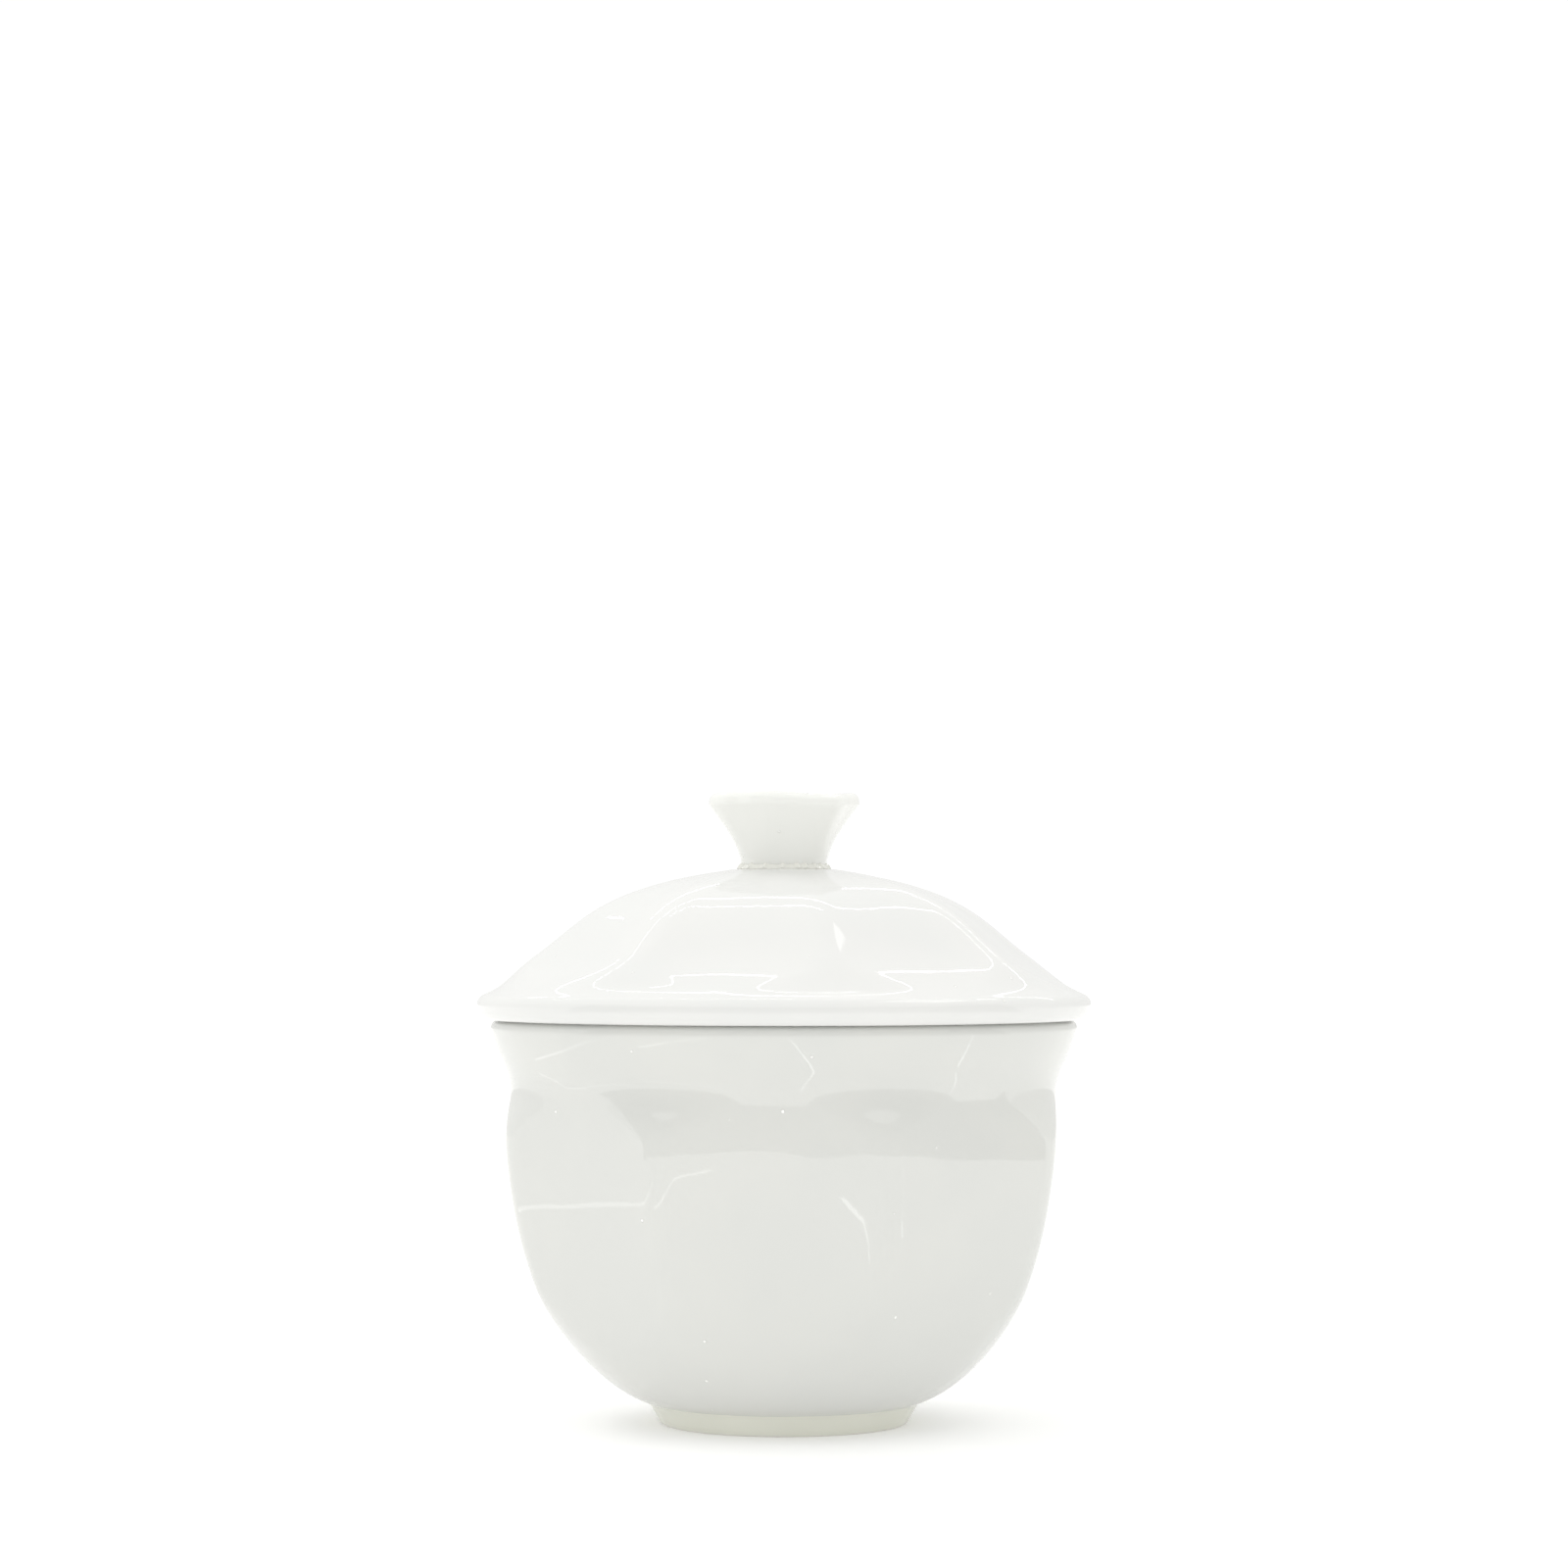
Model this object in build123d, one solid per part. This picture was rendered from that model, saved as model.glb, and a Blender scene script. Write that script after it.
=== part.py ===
from build123d import *
import os
from math import cos, radians, sin, sqrt, tan

# A white porcelain stew cup with a loose domed lid. Millimetres, +Z up, and the origin at the centre of
# the foot, on the plane that the cup stands on. The cup has eight soft flat panels between a round foot
# and a round flared mouth. The lid repeats them between a round edge and a round crown, and carries a
# six-lobed knob. Heights are measured from the foot plane unless a comment says otherwise.

# ---- Cup
CUP_HEIGHT = 71.9  # foot plane to the top of the mouth lip
MOUTH_RADIUS = 52.4  # outside of the flared mouth, where it is round
FLARE_OUT = 4.05  # how far the mouth stands out from the middle of a panel
BASE_RADIUS = 24.4  # outside of the bowl where it meets the foot ring
FLARE_HEIGHT = 14.9  # from the end of the belly curve up to the top of the lip
WALL = 3.0  # wall of the bowl at a panel's middle
FLOOR = 3.8  # thickness of the bowl's floor
LIP_PROUD = 0.1  # how far the rounded lip stands out from each face of the wall
BASE_ANGLE = 19.0  # slope of the bowl's underside beside the foot ring, in degrees
FLARE_ANGLE = 74.0  # slope of the flare at the lip, in degrees
FLOOR_FLAT = 18.0  # radius of the level middle of the bowl's floor
BELLY_REACH = 0.94  # share of the belly's width that pulls its curve out from the foot ring
BELLY_DROP = 0.21  # share of the belly's height that holds its curve upright below the neck
FLARE_START = 0.4  # share of the flare's height that holds its curve upright above the neck
FLARE_END = 0.56  # share of the flare's height that holds its curve straight below the lip
INSIDE_REACH = 0.85  # share of the inside's width that keeps it level beyond the floor
INSIDE_DROP = 0.35  # share of the inside's height that keeps it upright below the neck

# ---- Panels, on the cup and the lid alike
PANELS = 8
PANEL_POINTS = 10  # points for each panel in a cross-section
BELLY_FADE = (3.0, 22.0)  # the panels grow out of the round base between these heights above the foot ring
NECK_FADE = (-7.0, 7.0)  # they melt into the round flare between these heights, from the neck
CUP_RIDGE = 9.0  # rounding of the ridges between two panels, where the panels are full
LID_RIDGE = 7.0  # the same for the lid
BOWL_STATIONS = 10  # cross-sections through the belly
FLARE_STATIONS = 4  # cross-sections through the flare

# ---- Foot ring
FOOT_HEIGHT = 3.8  # foot plane to the underside of the bowl
FOOT_TOP_RADIUS = 24.2
FOOT_BOTTOM_RADIUS = 22.2
FOOT_WIDTH = 2.4  # width of the ring at the foot plane, before its edges are rounded
FOOT_FLARE = 1.2  # how much wider the ring is at its top, on the inside
FOOT_EDGE = 0.5  # rounding of its two lower edges
BASE_RECESS = 0.8  # how far the bowl's underside is hollowed inside the ring

# ---- Lid
LID_OVERHANG = 2.6  # how far the rolled edge stands out past the mouth
LID_RISE = 26.3  # bottom of the rolled edge to the top of the crown
EDGE_RADIUS = 2.1  # radius of the rolled edge's own section
EDGE_PROUD = 0.2  # how far the rolled edge stands up from the brim
BRIM_ANGLE = 23.4  # slope of the brim where it meets the rolled edge, in degrees
CROWN_RADIUS = 9.5  # the level, round top that carries the knob
CROWN_ANGLE = 8.9  # slope of the dome where it leaves the crown, in degrees
BRIM_REACH = 0.507  # share of the dome's width that pulls its curve in from the brim
CROWN_REACH = 0.668  # share of the dome's width that pulls its curve out from the crown
LID_WALL = 3.2
LID_TURN = -10.0  # how far the lid happens to be turned on the cup, in degrees about +Z
LID_STATIONS = 11
CROWN_FADE = (0.0, 0.22)  # shares of the dome's width over which its panels grow from the crown
BRIM_FADE = (0.74, 1.0)  # shares of the dome's width over which they melt into the round edge

# ---- Seat of the lid
SEAT_GAP = 0.2  # two fired pieces never meet all the way round
SEAT_DROP = 0.25  # how far the seat face stands below the rolled edge
RING_DEPTH = 5.5  # how far the locating ring reaches below the seat face
RING_WIDTH = 2.4
RING_CLEARANCE = 1.0  # from the locating ring to the inside of the bowl, at the ring's lower edge
RING_EDGE = 0.7  # rounding of its two lower edges
LAND_RISE = 4.3  # seat face up to the land that the locating ring is stuck to
LAND_MARGIN = 0.4  # how far the land runs past the ring on each side
LAND_SHARE = 0.9  # of the land's radius: where the dome's inside starts to turn down to it

# ---- Knob
KNOB_HEIGHT = 13.9  # crown to the top of the lip
KNOB_FOOT_RADIUS = 7.65
KNOB_LIP_RADIUS = 13.2  # to the middle of the lobes' wave
KNOB_LIP_HEIGHT = 2.2  # from the widest place up to the top
KNOB_FOOT_ANGLE = 78.0  # slope of the knob's side at its foot, in degrees
KNOB_LIP_ANGLE = 52.0  # slope of the knob's side at its widest place, in degrees
KNOB_FOOT_REACH = 0.4  # share of the side's height that holds the slope at the foot
KNOB_LIP_REACH = 0.3  # share of the side's height that holds the slope at the widest place
LOBES = 6
LOBE_DEPTH = 0.5  # height of the wave round the lip, to each side of its middle
LOBE_TURN = 17.0  # where the first lobe points, in degrees about +Z from +X
LOBE_POINTS = 6  # points for each lobe
KNOB_STATIONS = 5
KNOB_LAND = 0.2  # the narrowest level stretch on top of the lip
KNOB_ROUNDING = 1.4  # rounding of the lip's outer edge
ROUNDING_STATIONS = 3  # cross-sections through that rounding
DISH_ROUNDING = 0.9  # rounding of the lip's inner edge
DISH_DEPTH = 5.6  # of the hollow in the knob's top
DISH_REACH = 0.75  # share of the hollow's radius that keeps it level in the middle
DISH_DROP = 0.4  # share of the hollow's depth that keeps its side upright

# ---- Slip that the knob is stuck on with
SLIP_THICKNESS = 0.3
SLIP_COLLAR = 0.9  # how far it swells out from the knob's foot
SLIP_FIT = 0.03  # gap between the collar and the knob's foot
SLIP_HEIGHT = 0.9  # how far it climbs up the knob's foot

# ---- Heights and radii that follow from the values above
NECK_RADIUS = MOUTH_RADIUS - FLARE_OUT
NECK_HEIGHT = CUP_HEIGHT - FLARE_HEIGHT
LID_RADIUS = MOUTH_RADIUS + LID_OVERHANG
LIP_ROUND = WALL / 2 + LIP_PROUD
LIP_CENTRE = CUP_HEIGHT - LIP_ROUND
FLOOR_HEIGHT = FOOT_HEIGHT + BASE_RECESS + FLOOR
SEAT_HEIGHT = CUP_HEIGHT + SEAT_GAP
EDGE_HEIGHT = SEAT_HEIGHT + SEAT_DROP
CROWN_HEIGHT = EDGE_HEIGHT + LID_RISE
LAND_HEIGHT = SEAT_HEIGHT + LAND_RISE
RING_BOTTOM = SEAT_HEIGHT - RING_DEPTH
KNOB_BOTTOM = CROWN_HEIGHT + SLIP_THICKNESS
KNOB_TOP = CROWN_HEIGHT + KNOB_HEIGHT
DISH_RADIUS = KNOB_LIP_RADIUS - LOBE_DEPTH - KNOB_ROUNDING - KNOB_LAND - DISH_ROUNDING
HALF_PANEL = 180 / PANELS
HALVINGS = 30  # steps of the search for a height on a curve, far finer than any size here


def blend(value, start, end):
    """Goes smoothly from 0 at start to 1 at end."""
    share = min(max((value - start) / (end - start), 0), 1)
    return share * share * (3 - 2 * share)


def at_angle(point, angle, length):
    """The point at that distance, at an angle up from the horizontal, as radius and height."""
    return (point[0] + length * cos(radians(angle)), point[1] + length * sin(radians(angle)))


def panel_radius(offset, radius, rounding):
    """The distance to a rounded octagon, at an angle from the middle of one of its sides."""
    if rounding >= radius:
        return radius
    half_flat = (radius - rounding) * tan(radians(HALF_PANEL))
    if abs(radius * tan(radians(offset))) <= half_flat:
        return radius / cos(radians(offset))
    corner = (radius - rounding) / cos(radians(HALF_PANEL))
    from_ridge = radians(HALF_PANEL - abs(offset))
    return corner * cos(from_ridge) + sqrt(rounding**2 - (corner * sin(from_ridge)) ** 2)


def panel_ring(radius, height, strength, ridge, turn=0.0):
    """One level cross-section: a circle at strength 0, and eight flat panels at strength 1.

    The radius is the distance to a panel's middle, so it doesn't change with the strength.
    """
    rounding = radius - strength * (radius - ridge)
    points = []
    for panel in range(PANELS):
        middle = turn - 90 + 2 * HALF_PANEL * panel
        for index in range(PANEL_POINTS):
            offset = HALF_PANEL * (2 * index / PANEL_POINTS - 1)
            distance = panel_radius(offset, radius, rounding)
            angle = radians(middle + offset)
            points.append((distance * cos(angle), distance * sin(angle), height))
    return Face(Wire([Spline(*points, periodic=True)]))


def radius_at(curve, height):
    """The radius where a curve that climbs all the way reaches a height."""
    low, high = 0.0, 1.0
    for _ in range(HALVINGS):
        middle = (low + high) / 2
        if (curve @ middle).Z < height:
            low = middle
        else:
            high = middle
    return (curve @ low).X


def turned(outline):
    """A solid of revolution about +Z from edges drawn in the XZ plane."""
    return revolve(make_face(outline), Axis.Z)


def in_plane(*points):
    """Points given as radius and height, placed in the XZ plane."""
    return [(radius, 0, height) for radius, height in points]


def torus_at(ring_radius, height, section_radius):
    """A ring of round section, level, about +Z."""
    return Pos(0, 0, height) * Torus(ring_radius, section_radius)


# ---- Cup

def belly_curve():
    """The outside of a panel's middle, from the foot ring to the neck."""
    start = (BASE_RADIUS, FOOT_HEIGHT)
    end = (NECK_RADIUS, NECK_HEIGHT)
    out = at_angle(start, BASE_ANGLE, BELLY_REACH * (NECK_RADIUS - BASE_RADIUS))
    below = at_angle(end, -90, BELLY_DROP * (NECK_HEIGHT - FOOT_HEIGHT))
    return Bezier(*in_plane(start, out, below, end))


def flare_curve(inset=0.0):
    """The flare from the neck to the lip, moved inwards by the inset."""
    start = (NECK_RADIUS - inset, NECK_HEIGHT)
    end = (MOUTH_RADIUS - inset, LIP_CENTRE)
    rise = LIP_CENTRE - NECK_HEIGHT
    up = at_angle(start, 90, FLARE_START * rise)
    below = at_angle(end, FLARE_ANGLE + 180, FLARE_END * rise)
    return Bezier(*in_plane(start, up, below, end))


def cup_strength(height):
    """How flat the cup's panels are at a height."""
    grown = blend(height - FOOT_HEIGHT, *BELLY_FADE)
    melted = blend(height - NECK_HEIGHT, *NECK_FADE)
    return grown * (1 - melted)


def bowl_outside():
    """The bowl as a solid block, up to the middle of its lip."""
    stations = [belly_curve() @ (i / BOWL_STATIONS) for i in range(BOWL_STATIONS)]
    stations += [flare_curve() @ (i / FLARE_STATIONS) for i in range(FLARE_STATIONS + 1)]
    return loft([panel_ring(p.X, p.Z, cup_strength(p.Z), CUP_RIDGE) for p in stations])


def bowl_hollow():
    """What is cut out of the block: round, and one wall inside the panels' middles."""
    floor = (FLOOR_FLAT, FLOOR_HEIGHT)
    neck = (NECK_RADIUS - WALL, NECK_HEIGHT)
    out = at_angle(floor, 0, INSIDE_REACH * (neck[0] - floor[0]))
    below = at_angle(neck, -90, INSIDE_DROP * (NECK_HEIGHT - FLOOR_HEIGHT))
    flare = flare_curve(inset=WALL)
    above = CUP_HEIGHT + WALL
    outline = [
        Line(*in_plane((0, FLOOR_HEIGHT), floor)),
        Bezier(*in_plane(floor, out, below, neck)),
        flare,
        Polyline(*in_plane((MOUTH_RADIUS - WALL, LIP_CENTRE), (MOUTH_RADIUS - WALL, above), (0, above))),
        Line(*in_plane((0, above), (0, FLOOR_HEIGHT))),
    ]
    return turned(outline)


def make_bowl():
    """The bowl with its rounded lip, hollowed a little under its floor."""
    bowl = bowl_outside() - bowl_hollow()
    bowl += torus_at(MOUTH_RADIUS - WALL / 2, LIP_CENTRE, LIP_ROUND)
    recess_radius = FOOT_BOTTOM_RADIUS - FOOT_WIDTH - FOOT_FLARE
    recess = Pos(0, 0, FOOT_HEIGHT) * Cylinder(recess_radius, 2 * BASE_RECESS)
    return bowl - recess


def make_foot_ring():
    """The tapered ring that the cup stands on."""
    inside = FOOT_BOTTOM_RADIUS - FOOT_WIDTH
    corners = in_plane(
        (inside, 0),
        (FOOT_BOTTOM_RADIUS, 0),
        (FOOT_TOP_RADIUS, FOOT_HEIGHT),
        (inside - FOOT_FLARE, FOOT_HEIGHT),
    )
    ring = revolve(make_face(Polyline(*corners, close=True)), Axis.Z)
    return fillet(ring.edges().group_by(Axis.Z)[0], FOOT_EDGE)


# ---- Lid

def seat_ring_radius():
    """The locating ring's outside, clear of the bowl at the ring's lower edge."""
    return radius_at(flare_curve(inset=WALL), RING_BOTTOM) - RING_CLEARANCE


def dome_curve():
    """The outside of a lid panel's middle, from the rolled edge up to the crown."""
    edge_centre = (LID_RADIUS - EDGE_RADIUS, EDGE_HEIGHT + EDGE_RADIUS)
    brim = at_angle(edge_centre, 90 - BRIM_ANGLE, EDGE_RADIUS - EDGE_PROUD)
    crown = (CROWN_RADIUS, CROWN_HEIGHT)
    width = LID_RADIUS - CROWN_RADIUS
    inwards = at_angle(brim, 180 - BRIM_ANGLE, BRIM_REACH * width)
    outwards = at_angle(crown, -CROWN_ANGLE, CROWN_REACH * width)
    return Bezier(*in_plane(brim, inwards, outwards, crown))


def dome_strength(radius):
    """How flat the lid's panels are at a distance from the axis."""
    share = (radius - CROWN_RADIUS) / (LID_RADIUS - EDGE_RADIUS - CROWN_RADIUS)
    return blend(share, *CROWN_FADE) * (1 - blend(share, *BRIM_FADE))


def dome_outside():
    """The lid as a solid block above the rolled edge."""
    stations = [dome_curve() @ (i / LID_STATIONS) for i in range(LID_STATIONS + 1)]
    return loft([panel_ring(p.X, p.Z, dome_strength(p.X), LID_RIDGE, LID_TURN) for p in stations])


def dome_underside(land):
    """The inside of the dome, from the crown out to the land, one wall inside the panels' middles."""
    dome = dome_curve()
    stations = [1 - i / LID_STATIONS for i in range(LID_STATIONS + 1)]
    points = [(0, CROWN_HEIGHT - LID_WALL)]
    for station in stations:
        outside, along = dome @ station, dome % station
        inside = (outside.X - along.Z * LID_WALL, outside.Z + along.X * LID_WALL)
        if CROWN_RADIUS < inside[0] < LAND_SHARE * land[0]:
            points.append(inside)
    return Spline(*in_plane(*points, land), tangents=[(1, 0, 0), (1, 0, -1)])


def dome_hollow():
    """What is cut out under the lid: the dome, the locating ring's land and the step to the seat."""
    ring_radius = seat_ring_radius()
    land = (ring_radius - RING_WIDTH - LAND_MARGIN, LAND_HEIGHT)
    land_end = (ring_radius + LAND_MARGIN, LAND_HEIGHT)
    seat = (land_end[0] + LID_WALL / 2, SEAT_HEIGHT)
    crown = (0, CROWN_HEIGHT - LID_WALL)
    below = EDGE_HEIGHT - LID_RISE
    outline = [
        dome_underside(land),
        Polyline(*in_plane(land, land_end, seat, (seat[0], below), (0, below), crown)),
    ]
    return turned(outline)


def rolled_edge():
    """The rolled edge, and the brim below the dome's block down to the seat face."""
    centre = LID_RADIUS - EDGE_RADIUS
    brim_top = (dome_curve() @ 0).Z + EDGE_PROUD
    brim = Pos(0, 0, (SEAT_HEIGHT + brim_top) / 2) * Cylinder(
        centre - EDGE_RADIUS / 2, brim_top - SEAT_HEIGHT
    )
    return brim + torus_at(centre, EDGE_HEIGHT + EDGE_RADIUS, EDGE_RADIUS)


def make_lid_dome():
    """The lid's shell with its brim, rolled edge and seat face."""
    return dome_outside() + rolled_edge() - dome_hollow()


def make_seat_ring():
    """The unglazed ring under the lid that keeps it centred in the mouth."""
    radius = seat_ring_radius()
    corners = in_plane(
        (radius - RING_WIDTH, RING_BOTTOM),
        (radius, RING_BOTTOM),
        (radius, LAND_HEIGHT),
        (radius - RING_WIDTH, LAND_HEIGHT),
    )
    ring = revolve(make_face(Polyline(*corners, close=True)), Axis.Z)
    return fillet(ring.edges().group_by(Axis.Z)[0], RING_EDGE)


# ---- Knob

def lobed_ring(radius, depth, height):
    """One level cross-section of the knob: a circle with a wave of lobes round it."""
    count = LOBES * LOBE_POINTS
    points = []
    for index in range(count):
        angle = 360 * index / count
        wave = radius + depth * cos(radians(LOBES * angle))
        spot = radians(angle + LOBE_TURN)
        points.append((wave * cos(spot), wave * sin(spot), height))
    return Face(Wire([Spline(*points, periodic=True)]))


def knob_curve():
    """The knob's outside, from its foot up to its widest place."""
    foot = (KNOB_FOOT_RADIUS, KNOB_BOTTOM + SLIP_HEIGHT)
    widest = (KNOB_LIP_RADIUS, KNOB_TOP - KNOB_LIP_HEIGHT)
    rise = widest[1] - foot[1]
    up = at_angle(foot, KNOB_FOOT_ANGLE, KNOB_FOOT_REACH * rise)
    below = at_angle(widest, 180 + KNOB_LIP_ANGLE, KNOB_LIP_REACH * rise)
    return Bezier(*in_plane(foot, up, below, widest))


def knob_dish():
    """The hollow in the knob's top, with its rounded rim."""
    wall_top = (DISH_RADIUS, KNOB_TOP - DISH_ROUNDING)
    rim_middle = at_angle((DISH_RADIUS + DISH_ROUNDING, wall_top[1]), 135, DISH_ROUNDING)
    rim = (DISH_RADIUS + DISH_ROUNDING, KNOB_TOP)
    middle = (0, KNOB_TOP - DISH_DEPTH)
    above = KNOB_TOP + DISH_DEPTH
    outwards = at_angle(middle, 0, DISH_REACH * DISH_RADIUS)
    down = at_angle(wall_top, -90, DISH_DROP * DISH_DEPTH)
    outline = [
        Bezier(*in_plane(middle, outwards, down, wall_top)),
        ThreePointArc(*in_plane(wall_top, rim_middle, rim)),
        Polyline(*in_plane(rim, (rim[0], above), (0, above), middle)),
    ]
    return turned(outline)


def make_knob():
    """The flared knob with its lobed, rounded lip and dished top, on a short round foot."""
    stations = [knob_curve() @ (i / KNOB_STATIONS) for i in range(KNOB_STATIONS + 1)]
    first, last = stations[0].Z, stations[-1].Z
    rings = [lobed_ring(KNOB_FOOT_RADIUS, 0, KNOB_BOTTOM)]
    rings += [lobed_ring(p.X, LOBE_DEPTH * blend(p.Z, first, last), p.Z) for p in stations]
    for index in range(1, ROUNDING_STATIONS + 1):
        inwards, upwards = at_angle((-KNOB_ROUNDING, 0), 90 * index / ROUNDING_STATIONS, KNOB_ROUNDING)
        height = KNOB_TOP - KNOB_ROUNDING + upwards
        rings.append(lobed_ring(KNOB_LIP_RADIUS + inwards, LOBE_DEPTH, height))
    return loft(rings) - knob_dish()


def make_slip_joint():
    """The film of slip under the knob and the collar that it squeezes out round the knob's foot."""
    inside = KNOB_FOOT_RADIUS + SLIP_FIT
    outside = KNOB_FOOT_RADIUS + SLIP_COLLAR
    top = KNOB_BOTTOM + SLIP_HEIGHT
    film = in_plane((outside, CROWN_HEIGHT), (0, CROWN_HEIGHT), (0, KNOB_BOTTOM), (inside, KNOB_BOTTOM))
    outline = [
        Polyline(*film, *in_plane((inside, top))),
        Bezier(*in_plane((inside, top), (outside, top), (outside, CROWN_HEIGHT))),
    ]
    return turned(outline)


os.makedirs("parts", exist_ok=True)
parts = {
    "bowl": make_bowl(),
    "foot_ring": make_foot_ring(),
    "lid_dome": make_lid_dome(),
    "lid_seat_ring": make_seat_ring(),
    "knob": make_knob(),
    "knob_slip_joint": make_slip_joint(),
}
for name, shape in parts.items():
    export_step(shape, f"parts/{name}.step")
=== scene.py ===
"""The looks of a lidded porcelain cup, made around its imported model. Lengths are in metres."""
import math

import bpy
import numpy as np
from mathutils import Matrix, Vector


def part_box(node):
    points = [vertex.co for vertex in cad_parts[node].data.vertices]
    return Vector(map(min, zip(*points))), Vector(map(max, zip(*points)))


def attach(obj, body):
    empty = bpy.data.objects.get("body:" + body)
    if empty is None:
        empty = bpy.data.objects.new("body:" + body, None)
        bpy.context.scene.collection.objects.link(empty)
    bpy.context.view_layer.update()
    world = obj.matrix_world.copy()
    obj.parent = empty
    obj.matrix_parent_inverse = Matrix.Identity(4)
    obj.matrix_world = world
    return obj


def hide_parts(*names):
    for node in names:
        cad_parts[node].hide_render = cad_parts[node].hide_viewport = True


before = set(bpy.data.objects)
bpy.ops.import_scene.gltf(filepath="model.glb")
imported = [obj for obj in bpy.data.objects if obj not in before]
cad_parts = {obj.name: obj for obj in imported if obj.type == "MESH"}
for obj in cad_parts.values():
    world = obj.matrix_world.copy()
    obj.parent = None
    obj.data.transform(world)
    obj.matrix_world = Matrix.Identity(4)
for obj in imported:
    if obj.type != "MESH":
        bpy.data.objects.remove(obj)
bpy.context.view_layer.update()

MM = 0.001
UNEVEN_SEED = 11

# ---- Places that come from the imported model
bowl_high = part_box("bowl")[1]
foot_low, foot_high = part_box("foot_ring")
dome_low, dome_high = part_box("lid_dome")
ring_low, ring_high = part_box("lid_seat_ring")
knob_low, knob_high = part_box("knob")
slip_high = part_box("knob_slip_joint")[1]

CUP_TOP = bowl_high[2]
FOOT_TOP = foot_high[2]
FOOT_BOTTOM = foot_low[2]
FOOT_TOP_RADIUS = foot_high[0]
SEAT_HEIGHT = dome_low[2]
CROWN_HEIGHT = dome_high[2]
LID_RADIUS = dome_high[0]
RING_RADIUS = ring_high[0]
RING_BOTTOM = ring_low[2]
RING_TOP = ring_high[2]
KNOB_BOTTOM = knob_low[2]
KNOB_TOP = knob_high[2]
SLIP_RADIUS = slip_high[0]
SLIP_TOP = slip_high[2]

# ---- Sizes that a box doesn't tell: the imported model's own, and the finer ones that only the looks have
PANELS = 8
HALF_PANEL = math.pi / PANELS
WALL = 3.0 * MM
FLOOR = 3.8 * MM
BASE_RECESS = 0.8 * MM
BASE_RADIUS = 24.4 * MM
FLOOR_FLAT = 18.0 * MM
LIP_ROUND = 1.6 * MM
FLARE_OUT = 4.05 * MM
FLARE_HEIGHT = 14.9 * MM
FLARE_ANGLE = 74.0
BASE_ANGLE = 19.0
BELLY_REACH = 0.94  # share of a curve's width or height that shapes it, as the next five are
BELLY_DROP = 0.21
FLARE_START = 0.4
FLARE_END = 0.56
INSIDE_REACH = 0.85
INSIDE_DROP = 0.35
CUP_RIDGE = 7.0 * MM  # sharper than the model's 9 mm
BELLY_FADE = (3.0 * MM, 22.0 * MM)
NECK_FADE = (-7.0 * MM, 7.0 * MM)
FOOT_BOTTOM_RADIUS = 22.2 * MM
FOOT_WIDTH = 2.4 * MM
FOOT_FLARE = 1.2 * MM
FOOT_EDGE = 0.5 * MM
FOOT_FILLET = 0.7 * MM  # of the glaze between foot ring and bowl
SEAT_DROP = 0.25 * MM
EDGE_RADIUS = 2.1 * MM
EDGE_SAG = 0.52 * MM  # how much lower the rolled edge's underside is than a round one's
BRIM_ANGLE = 23.4
BRIM_REACH = 0.507
CROWN_REACH = 0.668
CROWN_RADIUS = 9.5 * MM
CROWN_ANGLE = 8.9
LID_WALL = 3.2 * MM
LID_RIDGE = 7.0 * MM
LID_TURN = math.radians(-10.0)
CROWN_FADE = (0.0, 0.22)  # where the lid's panels begin and end, as shares of the way out to its edge
BRIM_FADE = (0.74, 1.0)
RING_WIDTH = 2.4 * MM
RING_EDGE = 0.7 * MM
LAND_MARGIN = 0.4 * MM
LAND_SHARE = 0.9  # of the land's inner radius, inside which the underside follows the dome
LAND_TURN = 1.5 * MM  # how far the curve that turns down to the land reaches at each end
LAND_ANGLES = (-42.0, 130.0)  # its directions where it leaves the dome and where it comes to the land
KNOB_FOOT_RADIUS = 7.65 * MM
KNOB_LIP_RADIUS = 13.2 * MM
KNOB_LIP_HEIGHT = 2.2 * MM
KNOB_FOOT_ANGLE = 78.0
KNOB_LIP_ANGLE = 52.0
KNOB_FOOT_REACH = 0.4
KNOB_LIP_REACH = 0.3
KNOB_SIDE = (0.25 * MM, 0.35 * MM)  # reach of the curve from the widest place up to the lip's rounding
KNOB_ROUNDING = 1.4 * MM
KNOB_LAND = 0.2 * MM
DISH_ROUNDING = 0.9 * MM
DISH_DEPTH = 5.6 * MM
DISH_REACH = 0.75
DISH_DROP = 0.4
LOBES = 6
LOBE_DEPTH = 0.5 * MM
LOBE_TURN = math.radians(17.0)
LOBE_SHIFT = (math.radians(5.6), math.radians(1.8))  # how unevenly the lobes are spread
LIP_WAVE = 0.3 * MM  # how far the knob's lip rises and dips about its mean, which is this much lower
LIP_RIPPLE = 0.6  # size of its wave that goes thrice round, against the one that goes twice
BEADS = 21
BEAD_SPACING = (0.16, 0.42)  # radians round the collar
BEAD_WIDTH = (0.03, 0.055)
BEAD_HEIGHT = 0.34 * MM
GROOVE_DEPTH = 0.24 * MM  # of the slip between the beads

NECK_HEIGHT = CUP_TOP - FLARE_HEIGHT
MOUTH_RADIUS = bowl_high[0] - (LIP_ROUND - WALL / 2)
NECK_RADIUS = MOUTH_RADIUS - FLARE_OUT
FLOOR_HEIGHT = FOOT_TOP + BASE_RECESS + FLOOR

# ---- Unevenness of the hand-made surfaces
BOWL_UNEVEN = 0.14 * MM
FOOT_UNEVEN = 0.1 * MM
DOME_UNEVEN = 0.12 * MM
RING_UNEVEN = 0.15 * MM
SLIP_UNEVEN = 0.08 * MM
ABOVE_FOOT = 8 * MM  # the bowl's unevenness grows over this height above the foot
BELOW_LIP = (9 * MM, 2 * MM)  # and fades out between these depths below the lip

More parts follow.
